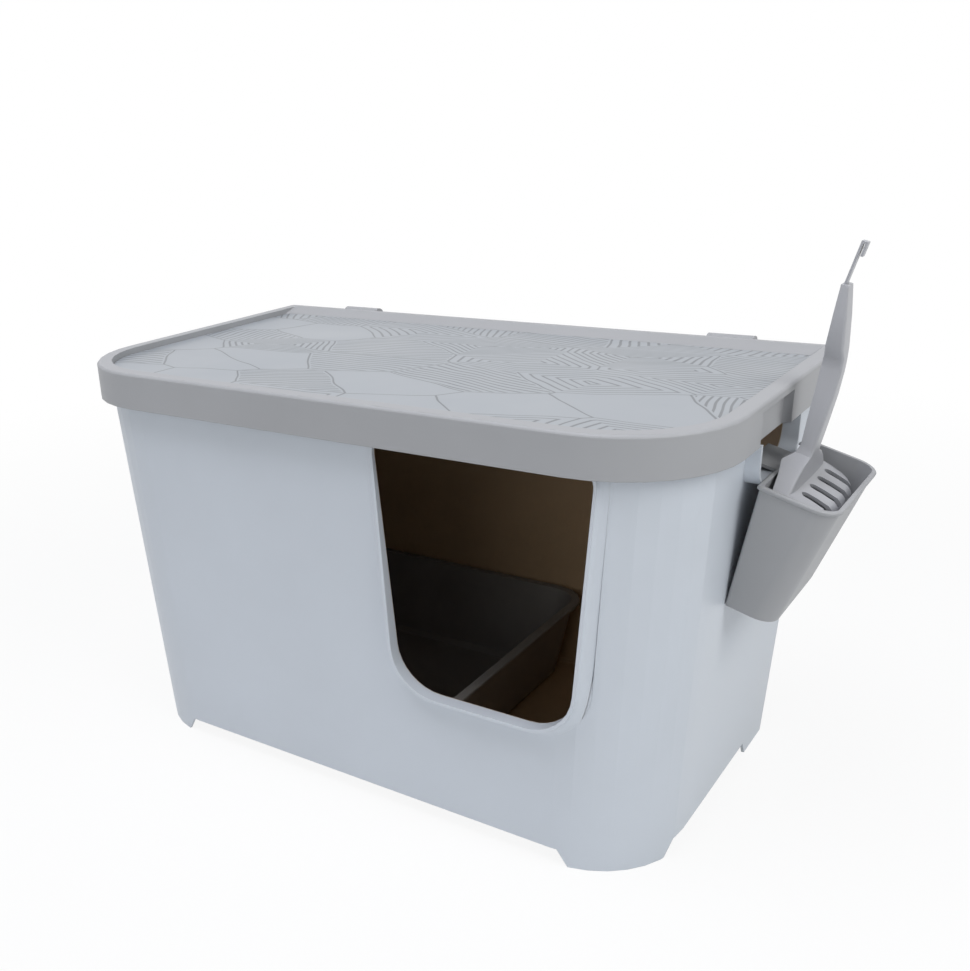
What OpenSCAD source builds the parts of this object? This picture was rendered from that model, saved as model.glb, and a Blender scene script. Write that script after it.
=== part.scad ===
// Covered litter box: a moulded housing with an entry window in its front wall, a lid hinged along the back,
// a lift-out litter tray, and a scoop that stands in a bin hooked into the hand opening of one end wall.
// X runs along the box, the entry is in the -Y wall, and the feet stand on z = 0.

/* [Box] */
// Length of the lid, the longest outline of the box
lid_len = 570; // [500:5:640]
// Depth of the lid from front to back
lid_dep = 330; // [310:5:380]
// Height of the closed box
box_h = 350; // [335:1:400]
// Height of the lid's skirt
skirt_h = 30; // [26:1:36]
// How far the lid reaches past the housing's wall
lid_over = 11; // [10.5:0.5:14]
// Wall thickness of the housing and the lid
wall = 2.5; // [2:0.1:3]
// Slope of the housing's walls, in mm out per mm up
draft = 0.043; // [0.03:0.001:0.05]
// Radius of the lid's two front corners
front_r = 88; // [60:1:100]
// Radius of the two rear corners
rear_r = 6; // [5:0.5:8]
// Width of the stiffening flange round the top of the housing
flange_w = 6; // [4:0.5:6.5]
// Height of the feet, up to the underside of the floor
foot_h = 14; // [10:1:20]
// Length of a foot along the box
foot_len_x = 62; // [45:1:90]
// Length of a foot along the end wall
foot_len_y = 51; // [40:1:70]
// How far the slanted end of a foot leans
foot_slope = 9; // [4:1:14]
// Radius inside, between floor and walls
floor_r = 6; // [3:1:10]

/* [Lid] */
// Width of the raised rim at the front and the ends
rim_w = 13; // [12:0.5:18]
// Width of the raised rim at the back
rear_rim_w = 25; // [22:1:32]
// Width of the slope between the recess and the rear rim
rear_slope = 17; // [10:1:18]
// Depth of the recess, down to the printed panel
recess_d = 5; // [3:0.5:6]
// Thickness of the printed panel
panel_t = 0.8; // [0.5:0.1:1.5]
// Gap round the printed panel
panel_gap = 0.4; // [0.2:0.1:1]
// Rounding of the lid's outer top edge
edge_r = 3; // [1.5:0.5:4]
// Height of the lid's short rear skirt
rear_skirt_h = 12; // [11:0.5:13]
// Length of the finger grip in each end of the lid
grip_len = 73; // [50:1:100]
// Depth of the finger grip
grip_d = 5; // [3:0.5:5.5]
// Length of the slope at each end of the finger grip
grip_slope = 7; // [4:1:12]
// Place of the finger grip's middle along Y
grip_y = -9; // [-20:1:20]

/* [Hinge] */
// Distance of each hinge from the middle of the box
hinge_x = 193; // [120:1:205]
// How far the hinge axis lies behind the lid's edge
hinge_back = 3; // [2:0.5:4]
// How far the hinge axis lies below the lid's top
hinge_drop = 7; // [6:0.5:7.5]
// Width of a hinge clip's tab
tab_w = 40; // [30:1:50]
// Outer radius of the tab round the hinge axis
tab_r = 8.5; // [8:0.1:9]
// Radius of the hinge pin
pin_r = 3; // [2.5:0.1:3.5]
// Running clearance round the hinge pin
pin_fit = 0.1; // [0.05:0.01:0.1]
// Width of each knuckle on the lid
knuckle_w = 14; // [10:1:18]
// Outer radius of a knuckle
knuckle_r = 5.5; // [5:0.1:6]
// Width of the notch in the lid's rear edge
notch_w = 90; // [84:1:100]
// Depth of the notch in the lid's rear edge
notch_d = 1.5; // [0.5:0.1:1.8]
// Thickness of a hinge clip's plate
clip_t = 4; // [3:0.1:5]
// Height of the plate that is held in the socket
clip_h = 30; // [22:1:40]
// Clearance of the plate in its socket
clip_fit = 0.2; // [0.1:0.05:0.3]

/* [Entry window] */
// Place of the window's middle along the box
window_x = 128; // [90:1:140]
// Width of the window at its top
window_top_w = 174; // [140:1:190]
// Width of the window at its bottom
window_low_w = 148; // [120:1:170]
// Height of the window's sill
sill_z = 121.5; // [90:0.5:160]
// Radius of the window's bottom corners
window_r = 38; // [20:1:50]
// Radius of the window's top corners
window_top_r = 12; // [6:1:20]
// Width of the raised surround
surround_w = 2.5; // [2:0.1:4]
// How far the surround stands past the wall at the lid's skirt
surround_proud = 0.5; // [0.3:0.1:2]
// Size of the fillet between surround and wall
surround_fillet = 7; // [3:1:10]

/* [Hand openings] */
// Place of the hand opening's middle along Y
collar_y = 11.5; // [-10:0.5:20]
// Width of the hand opening
collar_w = 92; // [75:1:110]
// Height of the hand opening's lower edge
collar_z = 290; // [270:1:295]
// Radius of the hand opening's lower corners
collar_r = 12; // [6:1:16]
// How far the collar's face stays inside the lid's edge
collar_inset = 1; // [0.5:0.5:4]

/* [Litter tray] */
// Length of the tray at its rim
tray_len = 346; // [300:1:370]
// Height of the tray
tray_h = 83; // [60:1:100]
// Thickness of the tray's walls
tray_wall = 2; // [1.6:0.1:2.5]
// Gap between the tray's rim and the housing
tray_gap = 4.5; // [3:0.5:8]
// How far the tray's walls lean in towards the floor
tray_lean = 16; // [10:1:24]
// Width of the tray's rim
tray_rim_w = 6; // [4:0.5:9]
// Corner radius of the tray's rim
tray_r = 35; // [25:1:45]

/* [Scoop holder] */
// Width of the holder's mouth along Y
bin_w = 125; // [118:1:140]
// Depth of the holder's mouth
bin_d = 53.5; // [50:0.5:65]
// Height of the holder
bin_h = 96; // [80:1:110]
// Place of the holder's middle along Y
bin_y = 21; // [16:1:22]
// Wall thickness of the holder
bin_wall = 2; // [1.6:0.1:2.4]
// Slope of the holder's front and back
bin_draft = 0.09; // [0.05:0.005:0.11]
// Slope of the holder's two ends
bin_end_draft = 0.03; // [0.02:0.005:0.05]
// Radius of the holder's two outer corners
bin_r = 16; // [8:1:20]
// How far the rolled edge stands out round the mouth
bead_w = 1.5; // [0.8:0.1:2]
// Height of the rolled edge
bead_h = 4; // [2:0.5:6]
// Width of the strap that hooks the holder on
strap_w = 44; // [30:1:48]
// Thickness of the strap
strap_t = 2.5; // [2:0.1:3]
// Depth of the tooth at the strap's end
tooth_d = 6; // [3:0.5:8]
// Gap where the holder hangs on the collar and leans on the wall
hang_gap = 0.3; // [0.2:0.05:0.5]

/* [Scoop] */
// Width of the scoop's bowl
bowl_w = 100; // [86:1:106]
// Width of the scoop's lip
lip_w = 92; // [76:1:98]
// Height of the bowl's side walls at the lip
lip_side = 5; // [3:0.5:10]
// Thickness of the scoop's walls
bowl_wall = 2; // [1.6:0.1:2.4]
// Gap between the scoop's sole and the holder
sole_gap = 0.5; // [0.3:0.1:1.5]
// How far the crest of the heel lies below the holder's rim
heel_drop = 5; // [2:0.5:12]
// Number of slots
slot_n = 4; // [3:1:4]
// Width of a slot
slot_w = 8; // [5:0.5:10]
// Distance from slot to slot
slot_pitch = 20; // [16:0.5:22]
// Distance from the scoop's lip to the slots
slot_low = 14; // [10:1:30]
// Height of the handle's shoulders above the holder's rim
shoulder_h = 9.5; // [6:0.5:14]
// Width of the scoop at the shoulders
shoulder_w = 48; // [36:1:60]
// Width of the handle
handle_w = 20; // [14:0.5:26]
// Greatest depth of the handle
handle_d = 14; // [10:0.5:16]
// Height of the handle above the holder's rim
handle_len = 130; // [100:1:160]
// How far the handle leans back at its top
handle_lean = 17; // [8:0.5:18]
// Height of the hanging hook on the handle
hook_h = 29; // [20:1:34]
// Width of the hanging hook
hook_w = 6; // [4:0.5:10]

/* [Hidden] */

$fn = 64;
arc_steps = 8;      // straight pieces in each rounded corner
over = 1;           // how far a cut runs past the face it opens
r_min = 0.6;        // smallest corner radius
seat_gap = 0.2;     // gap under the lid where it rests on the flange
side_gap = 0.4;     // gap at each side of a hinge tab
hinge_gap = 0.5;    // gap round the tab in the lid and the flange
white = "#dfe5ea";
grey = "#a9a9aa";
dark = "#3a3a3b";

skirt_z = box_h - skirt_h;
panel_z = box_h - recess_d;                 // top of the printed panel
plate_z = panel_z - panel_t - wall;         // underside of the lid's plate
rim_under = box_h - wall;                   // underside of the raised rim
wall_top = plate_z - seat_gap;
floor_top = foot_h + wall;
axis_y = lid_dep / 2 + hinge_back;
axis_z = box_h - hinge_drop;
body_r = front_r - lid_over;

// ---- outlines -------------------------------------------------------------------------------------------

function unit(v) = v / norm(v);
function turn(v, a) = [v.x * cos(a) - v.y * sin(a), v.x * sin(a) + v.y * cos(a)];

// The arc that rounds corner p of an anticlockwise outline, between its neighbours.
function corner_arc(p, before, after, r) =
    let (u = unit(before - p),
         v = unit(after - p),
         half = acos(u * v) / 2,
         centre = p + unit(u + v) * r / sin(half),
         start = p + u * r / tan(half) - centre)
    [for (i = [0 : arc_steps]) centre + turn(start, (180 - 2 * half) * i / arc_steps)];

function rounded(pts, radii) =
    let (n = len(pts))
    [for (i = [0 : n - 1]) each corner_arc(pts[i], pts[(i + n - 1) % n], pts[(i + 1) % n], radii[i])];

// A plan outline from front y0 to rear y1, hx to each side, with front and rear corner radii.
function plan(hx, y0, y1, rf, rr) =
    rounded([[-hx, y0], [hx, y0], [hx, y1], [-hx, y1]],
            [max(rf, r_min), max(rf, r_min), max(rr, r_min), max(rr, r_min)]);

function at(z, outline) = [for (p = outline) [p.x, p.y, z]];

// A solid through rings of equally many points, each ring anticlockwise seen from the last one's side.
module loft(rings) {
    n = len(rings[0]);
    last = (len(rings) - 1) * n;
    sides = [for (k = [0 : len(rings) - 2], i = [0 : n - 1])
             let (a = k * n + i, b = k * n + (i + 1) % n)
             each [[a, a + n, b + n], [a, b + n, b]]];
    polyhedron([for (ring = rings) each ring],
               concat([[for (i = [0 : n - 1]) i]], sides, [[for (i = [n - 1 : -1 : 0]) last + i]]));
}

// Half the housing's outer length and depth at height z.
function wall_x(z) = lid_len / 2 - lid_over - draft * (skirt_z - z);
function wall_y(z) = lid_dep / 2 - lid_over - draft * (skirt_z - z);
function body_ring(z, inset) =
    at(z, plan(wall_x(z) - inset, inset - wall_y(z), wall_y(z) - inset, body_r - inset, rear_r - inset));

// ---- housing --------------------------------------------------------------------------------------------

module housing() {
    color(white)
    difference() {
        union() {
            loft([body_ring(0, 0), body_ring(wall_top, 0)]);
            loft([body_ring(wall_top - wall, -flange_w), body_ring(wall_top, -flange_w)]);
            window_surround();
            for (side = [0, 1]) mirror([side, 0, 0]) handle_collar();
            for (side = [-1, 1]) translate([side * hinge_x, 0, 0]) socket_block();
        }
        cavity();
        loft([body_ring(-over, wall), body_ring(foot_h, wall)]);
        foot_gap(wall_x(0) - foot_len_x, 0);
        foot_gap(wall_y(0) - foot_len_y, 90);
        translate([0, -wall_y(skirt_z) / 2, 0])
            rotate([90, 0, 0]) linear_extrude(lid_dep) polygon(window_outline(0));
        for (side = [0, 1]) mirror([side, 0, 0]) hand_opening();
        for (side = [0, 1]) mirror([side, 0, 0]) grip_clearance();
        for (side = [-1, 1]) translate([side * hinge_x, 0, 0]) socket_pocket();
        translate([0, axis_y, axis_z])
            rotate([0, 90, 0]) cylinder(r = tab_r + hinge_gap, h = lid_len, center = true);
    }
}

// The space inside, with a radius between floor and walls.
module cavity() {
    loft(concat([for (a = [0, 30, 60, 90])
                 body_ring(floor_top + floor_r * (1 - cos(a)), wall + floor_r * (1 - sin(a)))],
                [body_ring(wall_top + over, wall)]));
}

// The long gap between two feet, under opposite walls.
module foot_gap(half, angle) {
    step = foot_slope / foot_h * over;
    rotate([90, 0, angle]) linear_extrude(2 * lid_len, center = true)
        polygon([[-half - step, -over], [half + step, -over],
                 [half - foot_slope, foot_h], [foot_slope - half, foot_h]]);
}

window_top_z = skirt_z + 4;     // the window ends behind the lid's skirt

function window_outline(grow) =
    rounded([[window_x - window_low_w / 2 - grow, sill_z - grow],
             [window_x + window_low_w / 2 + grow, sill_z - grow],
             [window_x + window_top_w / 2 + grow, window_top_z + grow],
             [window_x - window_top_w / 2 - grow, window_top_z + grow]],
            [window_r + grow, window_r + grow, window_top_r + grow, window_top_r + grow]);

// Where the housing's outer face lies on the front side, round the corner too.
function front_y(x, z) =
    let (past = max(0, abs(x) - wall_x(z) + body_r))
    body_r - wall_y(z) - sqrt(body_r * body_r - past * past);

surround_face = -wall_y(skirt_z) - surround_proud;
fillet_share = 0.9;     // the most of the surround's height that its fillet takes

// A ring of the fillet, from the wall (a = 0) to the surround's side (a = 90).
function fillet_ring(a) =
    [for (p = window_outline(surround_w + surround_fillet * (1 - sin(a))))
     let (y = front_y(p.x, p.y), rise = min(surround_fillet, fillet_share * (y - surround_face)))
     [p.x, y - rise * (1 - cos(a)), p.y]];

function flat_ring(y, grow) = [for (p = window_outline(grow)) [p.x, y, p.y]];

// The raised edge round the window: its face is upright while the wall behind it leans.
module window_surround() {
    back = wall / 2 - wall_y(sill_z - surround_w - surround_fillet);
    loft(concat([flat_ring(back, surround_w + surround_fillet)],
                [for (a = [0 : 22.5 : 90]) fillet_ring(a)],
                [flat_ring(surround_face, surround_w)]));
}

opening_top = skirt_z + 6;      // the hand opening ends behind the lid's skirt
collar_face = lid_len / 2 - collar_inset;

function collar_outline(grow, top) =
    rounded([[collar_y - collar_w / 2 - grow, collar_z - grow],
             [collar_y + collar_w / 2 + grow, collar_z - grow],
             [collar_y + collar_w / 2 + grow, top],
             [collar_y - collar_w / 2 - grow, top]],
            [collar_r + grow, collar_r + grow, r_min, r_min]);

// The U-shaped edge that stands out round the lower part of a hand opening.
module handle_collar() {
    root = wall_x(collar_z) - wall;
    translate([root, 0, 0]) rotate([90, 0, 90]) linear_extrude(collar_face - root)
        polygon(collar_outline(wall, skirt_z - over));
}

module hand_opening() {
    root = wall_x(collar_z) - 2 * wall;
    translate([root, 0, 0]) rotate([90, 0, 90]) linear_extrude(lid_over + 3 * wall)
        polygon(collar_outline(0, opening_top));
}

// Room for the inside of the lid's finger grip, cut from the flange.
module grip_clearance() {
    face = lid_len / 2 - grip_d - wall - hinge_gap;
    len = grip_len + 4 * grip_slope;
    translate([face, grip_y - len / 2, wall_top - 2 * wall]) cube([lid_over, len, 3 * wall]);
}

// ---- hinges ---------------------------------------------------------------------------------------------

plate_y = wall_y(skirt_z) + wall;               // the clip plate's inner face
plate_top = axis_z - tab_r - wall;
plate_low = plate_top - clip_h;
socket_top = plate_top - 2 * wall;

// The block on the rear wall that holds a hinge clip.
module socket_block() {
    root = wall_y(plate_low) - wall / 2;
    half = tab_w / 2 + clip_fit + wall;
    low = plate_low - clip_fit - wall;
    translate([-half, root, low])
        cube([2 * half, plate_y + clip_t + clip_fit + wall - root, socket_top - low]);
}

module socket_pocket() {
    half = tab_w / 2 + clip_fit;
    translate([-half, plate_y - clip_fit, plate_low - clip_fit])
        cube([2 * half, clip_t + 2 * clip_fit, clip_h + over]);
}

// A hinge clip: a plate in the socket, an arm, and a round tab with a pin at each side.
module hinge_clip() {
    reach = tab_r * 0.7;
    color(grey) translate([0, 0, 0]) {
        rotate([90, 0, 90]) linear_extrude(tab_w, center = true) union() {
            polygon([[plate_y, plate_low], [plate_y + clip_t, plate_low],
                     [plate_y + clip_t, plate_top - wall], [axis_y + reach, axis_z - reach],
                     [axis_y - reach, axis_z - reach], [plate_y, plate_top]]);
            translate([axis_y, axis_z]) circle(r = tab_r);
        }
        translate([0, axis_y, axis_z]) rotate([0, 90, 0])
            cylinder(r = pin_r, h = tab_w + 2 * (side_gap + knuckle_w), center = true);
    }
}

module hinge_clip_left() {
    translate([-hinge_x, 0, 0]) hinge_clip();
}

module hinge_clip_right() {
    translate([hinge_x, 0, 0]) hinge_clip();
}

// ---- lid ------------------------------------------------------------------------------------------------

function lid_ring(z, inset) =
    at(z, plan(lid_len / 2 - inset, inset - lid_dep / 2, lid_dep / 2 - inset, front_r - inset, rear_r - inset));

// The recess outline, grown by a wall and with its rear edge moved back by slide.
function recess_ring(z, grow, slide) =
    at(z, plan(lid_len / 2 - rim_w + grow, rim_w - lid_dep / 2 - grow,
               lid_dep / 2 - rear_rim_w + slide + grow, front_r - rim_w + grow, rear_r));

module lid() {
    color(grey)
    difference() {
        union() {
            difference() {
                lid_shell();
                rear_cuts();
            }
            for (side = [-1, 1]) translate([side * hinge_x, 0, 0]) knuckles();
        }
        for (side = [-1, 1]) translate([side * hinge_x, axis_y, axis_z]) rotate([0, 90, 0])
            cylinder(r = pin_r + pin_fit, h = notch_w, center = true);
    }
}

module lid_shell() {
    difference() {
        loft(concat([lid_ring(skirt_z, 0)],
                    [for (a = [0 : 22.5 : 90])
                     lid_ring(box_h - edge_r * (1 - sin(a)), edge_r * (1 - cos(a)))]));
        loft([recess_ring(panel_z - panel_t, 0, 0), recess_ring(panel_z, 0, 0),
              recess_ring(box_h + over / 10, over / 4, rear_slope)]);
        difference() {
            loft([lid_ring(skirt_z - over, wall), lid_ring(plate_z, wall)]);
            for (side = [0, 1]) mirror([side, 0, 0]) grip(wall);
        }
        difference() {
            loft([lid_ring(plate_z - over, wall), lid_ring(rim_under, wall)]);
            loft([recess_ring(plate_z - 2 * over, wall, 0), recess_ring(panel_z - panel_t, wall, 0),
                  recess_ring(rim_under + over, wall, rear_slope)]);
            for (side = [0, 1]) mirror([side, 0, 0]) grip(wall);
        }
        for (side = [0, 1]) mirror([side, 0, 0]) grip(0);
    }
}

// The hollow pressed into the skirt for the fingers; grow gives the wall behind it.
module grip(grow) {
    top = box_h - 2 * edge_r + grow;
    half = grip_len / 2 + grow;
    x_out = lid_len / 2 + over;
    x_in = lid_len / 2 - grip_d - grow;
    translate([0, 0, skirt_z - 2 * over]) linear_extrude(top - skirt_z + 2 * over)
        polygon([[x_out, grip_y - half], [x_out, grip_y + half], [x_out - over, grip_y + half],
                 [x_in, grip_y + half - grip_slope], [x_in, grip_y - half + grip_slope],
                 [x_out - over, grip_y - half]]);
}

// What the lid lacks along its back so that it can swing up round the hinges.
module rear_cuts() {
    inner = lid_dep / 2 - wall - over;
    reach = lid_len - 2 * wall;
    translate([-reach / 2, inner, skirt_z - over]) cube([reach, wall + 2 * over, skirt_h - rear_skirt_h + over]);
    for (side = [-1, 1]) translate([side * hinge_x, 0, 0]) {
        translate([-notch_w / 2, lid_dep / 2 - notch_d, skirt_z]) cube([notch_w, notch_d + over, skirt_h + over]);
        translate([0, axis_y, axis_z]) rotate([0, 90, 0])
            cylinder(r = tab_r + hinge_gap, h = tab_w + 2 * side_gap, center = true);
    }
}

// The two knuckles of one hinge, each with a web to the lid's edge.
module knuckles() {
    root = lid_dep / 2 - wall;
    web = hinge_drop - wall;
    for (side = [-1, 1]) translate([side * (tab_w + 2 * side_gap + knuckle_w) / 2, axis_y, axis_z]) {
        rotate([0, 90, 0]) cylinder(r = knuckle_r, h = knuckle_w, center = true);
        translate([-knuckle_w / 2, root - axis_y, -web]) cube([knuckle_w, axis_y - root, 2 * web]);
    }
}

module lid_panel() {
    color("#c3cad1") translate([0, 0, panel_z - panel_t]) linear_extrude(panel_t)
        polygon(plan(lid_len / 2 - rim_w - panel_gap, rim_w + panel_gap - lid_dep / 2,
                     lid_dep / 2 - rear_rim_w - panel_gap, front_r - rim_w - panel_gap, rear_r - panel_gap));
}

// ---- litter tray ----------------------------------------------------------------------------------------

tray_top = floor_top + tray_h;
tray_x0 = tray_gap + wall - wall_x(tray_top);       // the tray stands against the left end
tray_y = wall_y(tray_top) - wall - tray_gap;

function tray_ring(z, inset) =
    let (x0 = tray_x0 + inset, x1 = tray_x0 + tray_len - inset, y1 = tray_y - inset, r = max(tray_r - inset, tray_wall),
         r_front = max(body_r - wall - tray_gap - inset, r))
    at(z, rounded([[x0, -y1], [x1, -y1], [x1, y1], [x0, y1]], [r_front, r, r, r]));

module litter_tray() {
    low_r = 5 * tray_wall;      // radius between the tray's floor and walls
    lean = tray_rim_w + tray_lean;
    color(dark)
    difference() {
        union() {
            loft([tray_ring(floor_top, lean + low_r / 2), tray_ring(floor_top + low_r / 2, lean),
                  tray_ring(tray_top, tray_rim_w)]);
            loft([tray_ring(tray_top - tray_wall - over, 0), tray_ring(tray_top - over / 2, 0),
                  tray_ring(tray_top, over / 2)]);
        }
        loft([tray_ring(floor_top + tray_wall, lean + tray_wall + low_r / 2),
              tray_ring(floor_top + tray_wall + low_r / 2, lean + tray_wall),
              tray_ring(tray_top + over / 10, tray_rim_w + tray_wall)]);
    }
}

// ---- scoop holder ---------------------------------------------------------------------------------------
// The holder hangs on the outer edge of the hand opening and leans with its foot on the wall. In its own
// frame x points away from the box, z up along the holder, and the origin is on the collar's edge.

bin_top = strap_t;
bin_low = bin_top - bin_h;
bin_back = hang_gap + bead_w;
foot_x = bin_back + bin_h * bin_draft;
hang_x = collar_face;
hang_z = collar_z + hang_gap;

// The tilt at which the holder's foot touches the leaning wall.
lean_a = foot_x - draft * bin_low;
lean_b = -bin_low - draft * foot_x;
lean_k = wall_x(hang_z) + hang_gap - hang_x;
hang_tilt = acos(lean_k / norm([lean_a, lean_b])) - atan2(lean_b, lean_a);

module on_holder() {
    translate([hang_x, bin_y, hang_z]) rotate([0, hang_tilt, 0]) children();
}

function bin_ring(z, grow) =
    let (k = (bin_top - z) * bin_draft - grow, ky = (bin_top - z) * bin_end_draft - grow,
         x0 = bin_back + k, x1 = bin_back + bin_d - k, y1 = bin_w / 2 - ky, r = max(bin_r + grow, r_min))
    at(z, rounded([[x0, -y1], [x1, -y1], [x1, y1], [x0, y1]], [bin_wall, r, r, bin_wall]));

module scoop_holder() {
    color(grey) on_holder() {
        difference() {
            union() {
                loft([bin_ring(bin_low, 0), bin_ring(bin_top, 0)]);
                loft([bin_ring(bin_top - bead_h, -bin_wall / 2), bin_ring(bin_top - bead_h + bead_w, bead_w),
                      bin_ring(bin_top - bead_w / 2, bead_w), bin_ring(bin_top, bead_w / 2)]);
            }
            loft([bin_ring(bin_low + bin_wall, -bin_wall - bin_wall), bin_ring(bin_low + 3 * bin_wall, -bin_wall),
                  bin_ring(bin_top + over, -bin_wall)]);
        }
        strap();
    }
}

// The strap through the hand opening, with a tooth behind the wall.
module strap() {
    behind = (collar_face - wall_x(collar_z) + wall + 2 * over) / cos(hang_tilt);
    translate([-behind - strap_t, -strap_w / 2, 0]) cube([behind + strap_t + bin_back + bin_wall, strap_w, strap_t]);
    translate([-behind - strap_t, -strap_w / 2, -tooth_d]) cube([strap_t, strap_w, tooth_d + strap_t]);
}

// ---- scoop ----------------------------------------------------------------------------------------------
// The scoop stands in the holder, in the holder's frame, with its bowl down, its open side towards the box
// and its slotted sole outwards. The bowl, the shoulders and the hollow handle are one shell, drawn as
// sections across its length.

lip_z = bin_low + bin_wall + hang_gap;
heel_z = bin_top - heel_drop;
heel_fall = 4;                  // how much lower the heel is at the bend into the sole
bend_r = 12;                    // radius of the bend from heel to sole
shoulder_z = bin_top + shoulder_h;
neck_z = shoulder_z + 4;        // the shoulders end here in the handle
top_z = bin_top + handle_len;
grip_z = neck_z + bend_r / 2;   // the handle's own form starts here
back_x = bin_back + bin_wall + 14.5;            // the back of the neck
edge_x = bin_back + bin_wall + 4;               // the handle's open edge at the neck
soft = 0.6;                     // a section with a full curve
crisp = 0.3;                    // a section with tight corners

// The outermost face of the sole at height z, just inside the holder's front.
function sole_x(z) = bin_back + bin_d - bin_wall - sole_gap - (bin_top - z) * bin_draft;

// Rows are height, open edge, start of the curve, back, half width and form.
bowl_rows = [
    [lip_z, sole_x(lip_z) - bin_wall - lip_side, sole_x(lip_z) - 2 * bin_wall - lip_side / 2,
     sole_x(lip_z) - bin_wall, lip_w / 2, soft],
    [heel_z - 2 * bend_r, back_x - bowl_wall, back_x + bend_r / 2, sole_x(heel_z - 2 * bend_r), bowl_w / 2, soft],
    [heel_z - heel_fall - bend_r * 0.7, edge_x + bowl_wall, back_x, sole_x(heel_z) - bend_r * 0.05,
     bowl_w / 2, soft],
    [heel_z - heel_fall - bend_r * 0.25, edge_x + bowl_wall, back_x, sole_x(heel_z) - bend_r * 0.25,
     bowl_w / 2 - 0.5, soft],
    [heel_z - heel_fall, edge_x + bowl_wall, back_x, sole_x(heel_z) - bend_r * 0.6, bowl_w / 2 - 1, soft],
    [heel_z - heel_fall / 2, edge_x + 1, back_x, sole_x(heel_z) - 1.4 * bend_r, bowl_w / 2 - 2, soft],
    [heel_z, edge_x, back_x - 1, back_x + bend_r / 4, bowl_w / 2 - 4, soft],
    [(heel_z + shoulder_z) / 2, edge_x - 2, back_x - 3, back_x + 1, (bowl_w + shoulder_w) / 4, crisp],
    [shoulder_z, bin_back, back_x - 3, back_x, shoulder_w / 2, crisp],
    [neck_z, edge_x - 1, back_x - 2, back_x, handle_w / 2 + 2, crisp]];

// Shares of the handle's length, of its depth and of its width.
handle_shares = [[0, 0.72, 1], [0.15, 0.83, 1], [0.34, 0.96, 0.85], [0.5, 1, 0.65], [0.58, 0.97, 0.65],
                 [0.64, 0.88, 1], [0.83, 0.63, 0.95], [1, 0.36, 0.75]];
handle_rows = [for (k = handle_shares)
    let (z = grip_z + k[0] * (top_z - grip_z), x = edge_x - handle_lean * k[0], d = handle_d * k[1])
    [z, x, x + d / 2, x + d, handle_w / 2 * k[2], crisp]];

// One section of the shell, smaller by inset; the last three numbers say how far the inside runs past it.
function scoop_ring(row, inset, open, drop) =
    let (x0 = row[1] - open, x1 = row[2] - inset, x2 = row[3] - inset, hw = row[4] - inset)
    at(row[0] - drop,
       concat([[x0, -hw]],
              [for (a = [-90 : 15 : 90])
               [x1 + (x2 - x1) * pow(cos(a), row[5]), hw * sign(a) * pow(abs(sin(a)), row[5])]],
              [[x0, hw]]));

module scoop() {
    rows = concat(bowl_rows, handle_rows);
    slot_x = back_x + bend_r / 2;
    color("#b4b5b8") on_holder() {
        difference() {
            loft([for (row = rows) scoop_ring(row, 0, 0, 0)]);
            loft(concat([scoop_ring(rows[0], bowl_wall, bin_d, bowl_wall + over)],
                        [for (row = rows) scoop_ring(row, bowl_wall, bin_d, bowl_wall)]));
            for (i = [0 : slot_n - 1]) translate([slot_x, (i - (slot_n - 1) / 2) * slot_pitch, lip_z + slot_low])
                slot();
        }
        hook();
    }
}

// A slot through the heel and down the sole, with a round end by the neck.
module slot() {
    translate([slot_w / 2, -slot_w / 2, 0]) cube([bin_d, slot_w, bin_h]);
    translate([slot_w / 2, 0, 0]) cylinder(d = slot_w, h = bin_h);
}

// The thin hook on the handle's end, for hanging the scoop up.
module hook() {
    t = bowl_wall * 0.8;
    x = edge_x - handle_lean + t / 2;
    lip = hook_h / 3;
    translate([x, -hook_w / 2, top_z - t]) cube([t, hook_w, hook_h + t]);
    translate([x, -hook_w / 2, top_z + hook_h - t]) cube([2 * t + hang_gap * 4, hook_w, t]);
    translate([x + t + hang_gap * 4, -hook_w / 2, top_z + hook_h - lip]) cube([t, hook_w, lip]);
}

housing();
lid();
lid_panel();
hinge_clip_left();
hinge_clip_right();
litter_tray();
scoop_holder();
scoop();
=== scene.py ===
# %% [markdown]
# # A covered litter box: a moulded box, its lid and its scoop
#
# The object is a set of injection moulded plastic pieces: a pale housing with a window for the cat, a grey
# lid with a printed film in its top, a dark tray inside, and a scoop that stands in a holder hooked on one
# end. All shapes come from the CAD frame, because rigid mouldings are drawn best there. What is left for
# Blender is the part that CAD can't hold: how moulded polypropylene, printed film and a used tray answer
# light, and the soft studio that shows them.

# %% Load the frame
import math

import bpy
from mathutils import Matrix, Vector

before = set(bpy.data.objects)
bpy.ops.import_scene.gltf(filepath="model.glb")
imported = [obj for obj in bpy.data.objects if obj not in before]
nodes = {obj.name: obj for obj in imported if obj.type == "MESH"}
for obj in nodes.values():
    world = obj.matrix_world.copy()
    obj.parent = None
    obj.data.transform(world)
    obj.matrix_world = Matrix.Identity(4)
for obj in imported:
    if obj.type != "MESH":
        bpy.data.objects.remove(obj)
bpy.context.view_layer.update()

print("nodes:", ", ".join(sorted(nodes)))

# %% [markdown]
# ## Helpers
#
# Colours are picked on a screen, so they are written as sRGB hex values. Blender's shaders work in
# linear light, so one function turns the hex value into linear numbers. Another adds a node, sets what is
# given and links what comes from another node, which keeps each finish readable as a recipe. The last two
# start a finish and put it on a piece of the frame.

# %% Colours, nodes and finishes
MM = 0.001
WHITE = "#FFFFFF"


def linear(hex_colour):
    """An sRGB hex colour such as "#C8D0D7" as the linear RGBA that shaders want."""
    parts = [int(hex_colour.lstrip("#")[i : i + 2], 16) / 255 for i in (0, 2, 4)]
    return [p / 12.92 if p <= 0.04045 else ((p + 0.055) / 1.055) ** 2.4 for p in parts] + [1.0]


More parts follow.
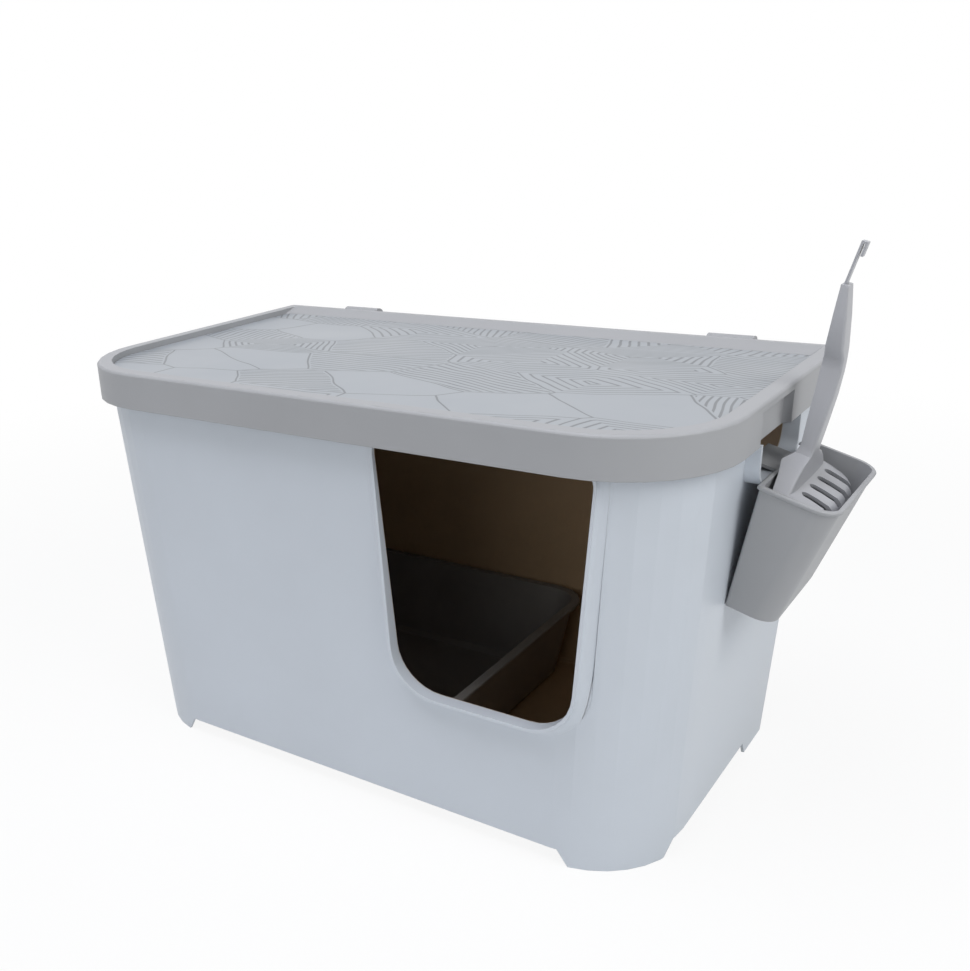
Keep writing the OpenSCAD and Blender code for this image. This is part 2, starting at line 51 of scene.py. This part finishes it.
def add(tree, kind, inputs=None, **settings):
    """Adds a node: settings are its options, inputs are values or the sockets that feed it."""
    node = tree.nodes.new(kind)
    for name, value in settings.items():
        setattr(node, name, value)
    for socket, value in (inputs or {}).items():
        if isinstance(value, bpy.types.NodeSocket):
            tree.links.new(value, node.inputs[socket])
        else:
            node.inputs[socket].default_value = value
    return node


def finish_named(name):
    """A new material with an empty node tree."""
    material = bpy.data.materials.new(name)
    material.use_nodes = True
    material.node_tree.nodes.clear()
    return material, material.node_tree


def dress(piece, material):
    """Gives a piece of the frame its finish through its material slots. Its mesh stays as it is."""
    slots = nodes[piece].material_slots
    for slot in slots:
        slot.material = material
    print(f"{piece}: {material.name} in {len(slots)} slot(s)")


print("white on the screen is", linear(WHITE)[0], "and middle grey", round(linear("#808080")[0], 3))

# %% [markdown]
# ## The camera
#
# The photograph was taken from the front right, a little above the lid, with the camera tilted slightly. Its
# place was fitted to the edges of the lid and the feet. The object sits off the middle of the picture, as it
# does when a wide shot is cropped, so the lens is shifted rather than the camera turned: turning it would
# change the perspective.

# %% Camera
EYE = Vector((0.4854, -0.7716, 0.5387))
LOOK = Vector((-0.5444, 0.7438, -0.3877)).normalized()
TILT = -0.046
SENSOR_WIDTH_MM, FOCAL_LENGTH_MM = 36.0, 40.46
SHIFT_RIGHT, SHIFT_UP = 0.1203, 0.0892

level_right = LOOK.cross(Vector((0, 0, 1))).normalized()
level_up = level_right.cross(LOOK)
right = level_right * math.cos(TILT) + level_up * math.sin(TILT)
up = level_up * math.cos(TILT) - level_right * math.sin(TILT)

lens = bpy.data.cameras.new("studio_camera")
lens.sensor_width = SENSOR_WIDTH_MM
lens.lens = FOCAL_LENGTH_MM
lens.shift_x = SHIFT_RIGHT
lens.shift_y = SHIFT_UP
lens.clip_start = 10 * MM
camera = bpy.data.objects.new("studio_camera", lens)
turned = Matrix((right, up, -LOOK)).transposed()
camera.matrix_world = Matrix.Translation(EYE) @ turned.to_4x4()
bpy.context.scene.collection.objects.link(camera)
bpy.context.scene.camera = camera
bpy.context.scene.view_settings.view_transform = "Standard"
print("camera looks down by", round(math.degrees(math.asin(-LOOK.z)), 1), "degrees")

# %% [markdown]
# ## Floor and air
#
# A catalogue picture stands on white. Flooding a floor with lamps until it is white would also bleach the
# object, so the floor is plain pale card under plain light, and only rays that come straight from the camera,
# out of a reflection or through a clear piece see it lifted towards white. Near the object a tenth of what
# those rays see is still the lit card, so the shadow stays. Further out the card fades to full white, as a
# curved paper sweep does, so no horizon shows. The air round the set does the same: it lights the object as a
# pale room and looks white.

# %% What the eye sees
TO_THE_EYE = ("Is Camera Ray", "Is Glossy Ray", "Is Transmission Ray")


def seen(tree):
    """A socket that is 1 for rays that show something to the eye, and 0 for those that only carry light."""
    rays = add(tree, "ShaderNodeLightPath")
    shown = rays.outputs[TO_THE_EYE[0]]
    for way in TO_THE_EYE[1:]:
        shown = add(tree, "ShaderNodeMath", {0: shown, 1: rays.outputs[way]}, operation="MAXIMUM").outputs[0]
    return shown


print("lifted towards white:", ", ".join(TO_THE_EYE))

# %% Floor
FLOOR_HALF = 6.0
NEAR_WHITE = 0.9
FADE_FROM, FADE_TO = 0.5, 1.6
CARD_ROUGHNESS = 0.9

card, tree = finish_named("pale_card_floor")
lit = add(tree, "ShaderNodeBsdfPrincipled", {"Base Color": linear("#EBECEC"), "Roughness": CARD_ROUGHNESS})
white = add(tree, "ShaderNodeEmission", {"Color": linear(WHITE), "Strength": 1.0})
ground = add(tree, "ShaderNodeTexCoord")
far_off = add(tree, "ShaderNodeVectorMath", {0: ground.outputs["Object"]}, operation="LENGTH")
fade = add(tree, "ShaderNodeMapRange", {"Value": far_off.outputs["Value"], "From Min": FADE_FROM,
                                        "From Max": FADE_TO, "To Min": NEAR_WHITE, "To Max": 1.0},
           interpolation_type="SMOOTHSTEP")
share = add(tree, "ShaderNodeMath", {0: seen(tree), 1: fade.outputs[0]}, operation="MULTIPLY")
mixed = add(tree, "ShaderNodeMixShader", {0: share.outputs[0], 1: lit.outputs[0], 2: white.outputs[0]})
add(tree, "ShaderNodeOutputMaterial", {"Surface": mixed.outputs[0]})

floor_mesh = bpy.data.meshes.new("floor")
floor_mesh.from_pydata([(-FLOOR_HALF, -FLOOR_HALF, 0), (FLOOR_HALF, -FLOOR_HALF, 0),
                        (FLOOR_HALF, FLOOR_HALF, 0), (-FLOOR_HALF, FLOOR_HALF, 0)], [], [(0, 1, 2, 3)])
floor_mesh.materials.append(card)
floor = bpy.data.objects.new("floor", floor_mesh)
bpy.context.scene.collection.objects.link(floor)
print("floor:", 2 * FLOOR_HALF, "m square, full white from", FADE_TO, "m out")

# %% Air
ROOM_LEVEL = 0.3

air = bpy.data.worlds.new("pale_room")
air.use_nodes = True
tree = air.node_tree
tree.nodes.clear()
room = add(tree, "ShaderNodeBackground", {"Color": linear("#F2F6FA"), "Strength": ROOM_LEVEL})
blank = add(tree, "ShaderNodeBackground", {"Color": linear(WHITE), "Strength": 1.0})
mixed = add(tree, "ShaderNodeMixShader", {0: seen(tree), 1: room.outputs[0], 2: blank.outputs[0]})
add(tree, "ShaderNodeOutputWorld", {"Surface": mixed.outputs[0]})
bpy.context.scene.world = air
print("room level:", ROOM_LEVEL)

# %% [markdown]
# ## Lamps
#
# The photograph's shading says where its lamps were: the lid's rim is far lighter than its skirt, the corner
# beside the scoop is the lightest part of the walls, the long front is a little darker, and the lid throws a
# thin shade on the wall under it. So one softbox is high on the right, and one is overhead and a little
# forward. A weak one fills the front. Softboxes are area lamps, because their size makes the shadows soft.

# %% Lamps
AT_WALLS, AT_LID = (0, 0, 0.2), (0, 0, 0.3)


def softbox(name, place, aim, side, power, colour=WHITE):
    """A square area lamp at place that shines towards aim: metres, watts and a hex colour."""
    lamp = bpy.data.lights.new(name, "AREA")
    lamp.shape = "SQUARE"
    lamp.size = side
    lamp.energy = power
    lamp.color = linear(colour)[:3]
    stand = bpy.data.objects.new(name, lamp)
    throw = Vector(aim) - Vector(place)
    stand.location = place
    stand.rotation_euler = throw.to_track_quat("-Z", "Y").to_euler()
    bpy.context.scene.collection.objects.link(stand)
    print(f"{name}: {power} W, {side} m square, {throw.length:.2f} m away")


softbox("softbox_right", (1.7, -0.35, 1.55), AT_WALLS, side=1.3, power=18.0)
softbox("softbox_top", (-0.25, -0.55, 2.1), AT_LID, side=1.2, power=26.0, colour="#F6F7FF")
softbox("softbox_front", (0.2, -2.0, 0.75), AT_WALLS, side=1.0, power=3.2)

# %% [markdown]
# ## Round corners without new shapes
#
# The CAD corners are cut into flat strips, eight to a quarter turn. A real moulding is round there, and light
# runs over it without steps. A finer mesh would do it, but the CAD mesh stays as it is, so a modifier changes
# only how the light is bent: it joins the faces' shared points, drops the normals that came with the file and
# shades smoothly wherever two faces meet at a small angle. Strips in a quarter turn meet at 11 degrees, and
# real edges at far more, so edges stay crisp. A second modifier weighs the faces at a point by area and
# angle. Flat walls then stay flat, and the turn happens in the narrow strips alone.
#
# Two pieces have limits of their own: the lid has a shallow slope behind its recess that has to stay crisp,
# and the scoop is one flowing form whose strips meet at more.

# %% Smooth corners
CREASE = 26
OWN_CREASE = {"lid": 14, "scoop": 42}
SAME_POINT = 0.005 * MM
STRIPS = 8


def smooth_corners(name, crease):
    """A modifier tree that shades smoothly where faces meet at less than crease degrees."""
    tree = bpy.data.node_groups.new(name, "GeometryNodeTree")
    for way in ("INPUT", "OUTPUT"):
        tree.interface.new_socket("Mesh", in_out=way, socket_type="NodeSocketGeometry")
    source = add(tree, "NodeGroupInput")
    joined = add(tree, "GeometryNodeMergeByDistance", {"Geometry": source.outputs[0], "Distance": SAME_POINT})
    plain = add(tree, "GeometryNodeRemoveAttribute", {"Geometry": joined.outputs[0], "Name": "custom_normal"})
    bend = add(tree, "GeometryNodeInputMeshEdgeAngle")
    gentle = add(tree, "FunctionNodeCompare", {0: bend.outputs[0], 1: math.radians(crease)},
                 operation="LESS_THAN")
    faces = add(tree, "GeometryNodeSetShadeSmooth", {"Geometry": plain.outputs[0], "Shade Smooth": True},
                domain="FACE")
    edges = add(tree, "GeometryNodeSetShadeSmooth", {"Geometry": faces.outputs[0],
                                                     "Shade Smooth": gentle.outputs[0]}, domain="EDGE")
    add(tree, "NodeGroupOutput", {0: edges.outputs[0]})
    return tree


print("strips of a quarter turn meet at", 90 / STRIPS, "degrees")

# %% Smooth every piece
EVEN_WEIGHT = 50

for name, node in sorted(nodes.items()):
    crease = OWN_CREASE.get(name, CREASE)
    node.modifiers.new("smooth_corners", "NODES").node_group = smooth_corners(f"smooth_{name}", crease)
    weigh = node.modifiers.new("flat_walls_first", "WEIGHTED_NORMAL")
    weigh.mode = "FACE_AREA_WITH_ANGLE"
    weigh.weight = EVEN_WEIGHT
    weigh.keep_sharp = True
    print(f"{name}: smooth below {crease} degrees")

# %% [markdown]
# ## Moulded polypropylene
#
# The housing, lid, holder, scoop and hinge clips are polypropylene, injected into a steel mould whose walls
# were spark eroded. That leaves a fine even grain, so the plastic has a broad soft sheen instead of a mirror
# gloss. Where the melt flowed and cooled, the sheen and the tone drift a little over a hand's width. Sharp
# edges
# are painted lighter: partly the wear of handling, partly a painted highlight along them. The real grain is
# about 0.15 mm, too fine for this picture, so it is drawn at 0.9 mm. Polypropylene's IOR is 1.49.
#
# The mesh has crisp edges. A moulded edge is never sharp, so a bevel in the shader rounds the normals there,
# and the same bevel says where an edge is painted lighter, as wear and painted highlight: the more it turns
# the normal, the smaller the cosine between the two.

# %% Moulded plastic
PP_IOR = 1.49
GRAIN = 0.9 * MM
GRAIN_DEPTH, GRAIN_STRENGTH = 0.05 * MM, 0.25
FLOW = 90 * MM
NOISE_LOW, NOISE_HIGH = 0.3, 0.7
SHEEN_DRIFT = 0.05
FLAT_COSINE, EDGE_COSINE = 0.995, 0.85


def moulded(tree, place, colour, roughness, rub=WHITE, rub_share=0.12, edge=0.7 * MM, grain=GRAIN,
            drift=0.035):
    """Fills a tree with a moulded plastic surface. Colour is a value or a socket; rub is the tone of the
    lighter painted edges, wear and painted highlight.
    """
    flow = add(tree, "ShaderNodeTexNoise", {"Vector": place, "Scale": 1 / FLOW, "Detail": 3.0,
                                            "Roughness": 0.5})
    tone = add(tree, "ShaderNodeMapRange", {"Value": flow.outputs[0], "From Min": NOISE_LOW,
                                            "From Max": NOISE_HIGH, "To Min": 1 - drift, "To Max": 1 + drift})
    toned = add(tree, "ShaderNodeVectorMath", {0: colour, "Scale": tone.outputs[0]}, operation="SCALE")
    soft = add(tree, "ShaderNodeBevel", {"Radius": edge}, samples=4)
    flat = add(tree, "ShaderNodeNewGeometry")
    cosine = add(tree, "ShaderNodeVectorMath", {0: soft.outputs[0], 1: flat.outputs["Normal"]},
                 operation="DOT_PRODUCT")
    # Edges are painted lighter here: partly wear from handling, partly a painted highlight.
    rubbed_and_highlit = add(tree, "ShaderNodeMapRange", {"Value": cosine.outputs["Value"], "From Min": FLAT_COSINE,
                                              "From Max": EDGE_COSINE, "To Min": 0.0, "To Max": rub_share})
    worn_and_highlit = add(tree, "ShaderNodeMix", {0: rubbed_and_highlit.outputs[0], 6: toned.outputs[0], 7: linear(rub)},
               data_type="RGBA")
    sheen = add(tree, "ShaderNodeMapRange", {"Value": flow.outputs[0], "From Min": NOISE_LOW,
                                             "From Max": NOISE_HIGH, "To Min": roughness - SHEEN_DRIFT,
                                             "To Max": roughness + SHEEN_DRIFT})
    sand = add(tree, "ShaderNodeTexNoise", {"Vector": place, "Scale": 1 / grain, "Detail": 2.0,
                                            "Roughness": 0.6})
    skin = add(tree, "ShaderNodeBump", {"Height": sand.outputs[0], "Strength": GRAIN_STRENGTH,
                                        "Distance": GRAIN_DEPTH, "Normal": soft.outputs[0]})
    plastic = add(tree, "ShaderNodeBsdfPrincipled", {"Base Color": worn_and_highlit.outputs[2], "IOR": PP_IOR,
                                                     "Roughness": sheen.outputs[0],
                                                     "Normal": skin.outputs[0]})
    add(tree, "ShaderNodeOutputMaterial", {"Surface": plastic.outputs[0]})


def plain_plastic(name, hex_colour, roughness, **how):
    """A moulded finish of one colour all over."""
    material, tree = finish_named(name)
    place = add(tree, "ShaderNodeTexCoord").outputs["Object"]
    moulded(tree, place, linear(hex_colour)[:3], roughness, **how)
    return material


print("grain", GRAIN / MM, "mm, flow marks", FLOW / MM, "mm")

# %% [markdown]
# ## The grey pieces
#
# The lid, the clips, the holder and the scoop are moulded in the same mid grey. The holder and the scoop
# come out a touch apart from the lid, as other tools and batches do. The scoop was moulded in a smoother
# tool, so it has a little more gloss, finer edges and no lighter painted edge, neither wear nor painted
# highlight. On its narrow handle a fine grain would speckle, so there it is drawn at 1.4 mm.

# %% Grey finishes
LID_ROUGHNESS, HOLDER_ROUGHNESS, SCOOP_ROUGHNESS = 0.46, 0.48, 0.36

lid_grey = plain_plastic("lid_grey_moulded_polypropylene", "#A3A4A6", LID_ROUGHNESS)
holder_grey = plain_plastic("holder_grey_moulded_polypropylene", "#9FA0A2", HOLDER_ROUGHNESS)
scoop_grey = plain_plastic("scoop_grey_smooth_polypropylene", "#A8A9AD", SCOOP_ROUGHNESS, grain=1.4 * MM,
                           edge=0.12 * MM, rub_share=0.0)
for piece in ("lid", "hinge_clip_left", "hinge_clip_right"):
    dress(piece, lid_grey)
dress("scoop_holder", holder_grey)
dress("scoop", scoop_grey)

# %% [markdown]
# ## The housing, outside and inside
#
# Outside it is a cool white. Inside, the photograph shows the walls as a deep brown shade, lit only by what
# falls through the window. The walls are white plastic there too, so the warm brown given to the inside is
# painted shade. The housing is one moulding, so the finish asks how deep a point lies under the outer face:
# deeper than the wall's middle is inside. That depth is the distance to the rounded outline of the walls,
# which lean in towards the floor, so it holds from any side and in any pose. The two radii are those of the
# front corners and the rear ones. Below the floor the underside is white again.

# %% The walls' outline
LEAN = 0.043
SKIRT_Z = 320 * MM
HALF_LENGTH, HALF_DEPTH = 274 * MM, 154 * MM
FRONT_RADIUS, REAR_RADIUS = 77 * MM, 6 * MM

white_housing_painted_shade_inside, tree = finish_named("cool_white_polypropylene_with_painted_shade_inside")
place = add(tree, "ShaderNodeTexCoord").outputs["Object"]
xyz = add(tree, "ShaderNodeSeparateXYZ", {0: place})
leaned = add(tree, "ShaderNodeMapRange", {"Value": xyz.outputs[2], "From Min": 0.0, "From Max": SKIRT_Z,
                                          "To Min": LEAN * SKIRT_Z, "To Max": 0.0})
behind = add(tree, "ShaderNodeMath", {0: xyz.outputs[1], 1: 0.0}, operation="GREATER_THAN")
radius = add(tree, "ShaderNodeMapRange", {"Value": behind.outputs[0], "To Min": FRONT_RADIUS,
                                          "To Max": REAR_RADIUS})
drawn_in = add(tree, "ShaderNodeMath", {0: leaned.outputs[0], 1: radius.outputs[0]}, operation="ADD")
print("walls lean in by", round(LEAN * SKIRT_Z / MM, 1), "mm from the lid's skirt down")

# %% Depth under the outer face
WALL = 2.5 * MM
INSIDE_FROM, INSIDE_FULL = 0.7 * WALL, 0.95 * WALL

away = add(tree, "ShaderNodeVectorMath", {0: place}, operation="ABSOLUTE")
past_wall = add(tree, "ShaderNodeVectorMath", {0: away.outputs[0], 1: (HALF_LENGTH, HALF_DEPTH, 0)},
                operation="SUBTRACT")
past_arc = add(tree, "ShaderNodeVectorMath", {0: past_wall.outputs[0], 1: drawn_in.outputs[0]},
               operation="ADD")
in_plan = add(tree, "ShaderNodeVectorMath", {0: past_arc.outputs[0], 1: (1, 1, 0)}, operation="MULTIPLY")
round_part = add(tree, "ShaderNodeVectorMath", {0: in_plan.outputs[0], 1: (0, 0, 0)}, operation="MAXIMUM")
corner = add(tree, "ShaderNodeVectorMath", {0: round_part.outputs[0]}, operation="LENGTH")
sides = add(tree, "ShaderNodeSeparateXYZ", {0: in_plan.outputs[0]})
nearer = add(tree, "ShaderNodeMath", {0: sides.outputs[0], 1: sides.outputs[1]}, operation="MAXIMUM")
flat_part = add(tree, "ShaderNodeMath", {0: nearer.outputs[0], 1: 0.0}, operation="MINIMUM")
from_arc = add(tree, "ShaderNodeMath", {0: corner.outputs["Value"], 1: flat_part.outputs[0]}, operation="ADD")
depth = add(tree, "ShaderNodeMath", {0: radius.outputs[0], 1: from_arc.outputs[0]}, operation="SUBTRACT")
inside = add(tree, "ShaderNodeMapRange", {"Value": depth.outputs[0], "From Min": INSIDE_FROM,
                                          "From Max": INSIDE_FULL})
print("inside starts", round(INSIDE_FROM / MM, 2), "mm under the outer face")

# %% Housing colours: white outside, painted shade inside
IN_THE_FLOOR = 16 * MM
HOUSING_ROUGHNESS = 0.42

above = add(tree, "ShaderNodeMath", {0: xyz.outputs[2], 1: IN_THE_FLOOR}, operation="GREATER_THAN")
shade = add(tree, "ShaderNodeMath", {0: inside.outputs[0], 1: above.outputs[0]}, operation="MULTIPLY")
# The inside gets a warm brown: painted shade, on walls that are white plastic there too.
white_and_painted_shade = add(tree, "ShaderNodeMix", {0: shade.outputs[0], 6: linear("#CCD2D9"), 7: linear("#BDA17F")},
                  data_type="RGBA")
moulded(tree, place, white_and_painted_shade.outputs[2], HOUSING_ROUGHNESS, rub_share=0.3, drift=0.02)
dress("housing", white_housing_painted_shade_inside)

# %% [markdown]
# ## The printed film in the lid
#
# A thin printed film lies in the recess of the lid's top: grey ink over a paler, cool grey, a little glossier
# than the lid. The pattern here is a made-up field of hatched pebbles. Voronoi cells give pebbles of about
# 80 mm, drawn out along the lid, and random numbers from each cell turn its hatching and pick its spacing.
# More than one in four stay plain, and as many are drawn as rings that follow the pebble's edge. The lines
# are 1.5 mm wide and 5 to 8 mm apart, and a slow noise bends the ground they are drawn on, as a hand would.

# %% Film pebbles
PEBBLE = 82 * MM
DRAWN_OUT = (0.8, 1.35, 1.0)
UNEVENNESS = 0.85
WOBBLE, WOBBLE_LENGTH = 7 * MM, 55 * MM

film, tree = finish_named("printed_polypropylene_film")
place = add(tree, "ShaderNodeTexCoord").outputs["Object"]
bend = add(tree, "ShaderNodeTexNoise", {"Vector": place, "Scale": 1 / WOBBLE_LENGTH, "Detail": 1.0})
bend_out = add(tree, "ShaderNodeVectorMath", {0: bend.outputs["Color"], 1: (0.5, 0.5, 0.5)},
               operation="SUBTRACT")
bend_mm = add(tree, "ShaderNodeVectorMath", {0: bend_out.outputs[0], "Scale": 2 * WOBBLE}, operation="SCALE")
drawn = add(tree, "ShaderNodeVectorMath", {0: place, 1: bend_mm.outputs[0]}, operation="ADD").outputs[0]
stretch = add(tree, "ShaderNodeVectorMath", {0: drawn, 1: DRAWN_OUT}, operation="MULTIPLY").outputs[0]
cells = {"Vector": stretch, "Scale": 1 / PEBBLE, "Randomness": UNEVENNESS}
pebbles = add(tree, "ShaderNodeTexVoronoi", cells, voronoi_dimensions="2D", feature="F1")
rims = add(tree, "ShaderNodeTexVoronoi", cells, voronoi_dimensions="2D", feature="DISTANCE_TO_EDGE")
chance = add(tree, "ShaderNodeSeparateColor", {0: pebbles.outputs["Color"]})
from_rim = add(tree, "ShaderNodeMath", {0: rims.outputs["Distance"], 1: PEBBLE},
               operation="MULTIPLY").outputs[0]
print("pebbles of", round(PEBBLE / MM), "mm, bent by up to", round(WOBBLE / MM), "mm")

# %% Film hatching
LINE, INK_EDGE = 1.5 * MM, 0.4 * MM
PITCH_FINE, PITCH_WIDE = 2.6 * MM, 3.9 * MM
RINGED_FROM = 0.72

turn = add(tree, "ShaderNodeMath", {0: chance.outputs[0], 1: math.pi}, operation="MULTIPLY")
turned = add(tree, "ShaderNodeVectorRotate", {"Vector": drawn, "Angle": turn.outputs[0]},
             rotation_type="Z_AXIS")
across = add(tree, "ShaderNodeSeparateXYZ", {0: turned.outputs[0]})
pitch = add(tree, "ShaderNodeMapRange", {"Value": chance.outputs[1], "To Min": PITCH_FINE,
                                         "To Max": PITCH_WIDE})
ringed = add(tree, "ShaderNodeMath", {0: chance.outputs[2], 1: RINGED_FROM}, operation="GREATER_THAN")
run = add(tree, "ShaderNodeMix", {0: ringed.outputs[0], 2: across.outputs[0], 3: from_rim})
off_line = add(tree, "ShaderNodeMath", {0: run.outputs[0], 1: pitch.outputs[0]}, operation="PINGPONG")
hatch = add(tree, "ShaderNodeMapRange", {"Value": off_line.outputs[0], "From Min": LINE / 2,
                                         "From Max": LINE / 2 + INK_EDGE, "To Min": 1.0, "To Max": 0.0})
print("hatching every", 2 * PITCH_FINE / MM, "to", 2 * PITCH_WIDE / MM, "mm")

# %% Film ink
PLAIN_BELOW = 0.28
RIM_GAP = 2.2 * MM
RIM_INK, RIM_BARE = 0.4 * LINE, 0.6 * LINE
FILM_ROUGHNESS = 0.34

clear_of_rim = add(tree, "ShaderNodeMath", {0: from_rim, 1: RIM_GAP}, operation="GREATER_THAN")
filled = add(tree, "ShaderNodeMath", {0: chance.outputs[2], 1: PLAIN_BELOW}, operation="GREATER_THAN")
drawn_in_it = add(tree, "ShaderNodeMath", {0: hatch.outputs[0], 1: filled.outputs[0]}, operation="MULTIPLY")
hatched = add(tree, "ShaderNodeMath", {0: drawn_in_it.outputs[0], 1: clear_of_rim.outputs[0]},
              operation="MULTIPLY")
rim_line = add(tree, "ShaderNodeMapRange", {"Value": from_rim, "From Min": RIM_INK, "From Max": RIM_BARE,
                                            "To Min": 1.0, "To Max": 0.0})
ink = add(tree, "ShaderNodeMath", {0: hatched.outputs[0], 1: rim_line.outputs[0]}, operation="MAXIMUM")
printed = add(tree, "ShaderNodeMix", {0: ink.outputs[0], 6: linear("#9A9FA4"), 7: linear("#6A6E72")},
              data_type="RGBA")
moulded(tree, place, printed.outputs[2], FILM_ROUGHNESS, drift=0.015)
dress("lid_panel", film)

# %% [markdown]
# ## The litter tray
#
# The tray is moulded from dark recycled polypropylene. Mixed batches of plastic give it an uneven tone, and
# its edges are painted paler: partly rubbed by litter and the scoop, partly a painted highlight.

# %% Tray finish
TRAY_ROUGHNESS = 0.5

tray_dark = plain_plastic("dark_recycled_polypropylene", "#827E7A", TRAY_ROUGHNESS, rub="#8E8B88",
                          rub_share=0.2, drift=0.12)
dress("litter_tray", tray_dark)
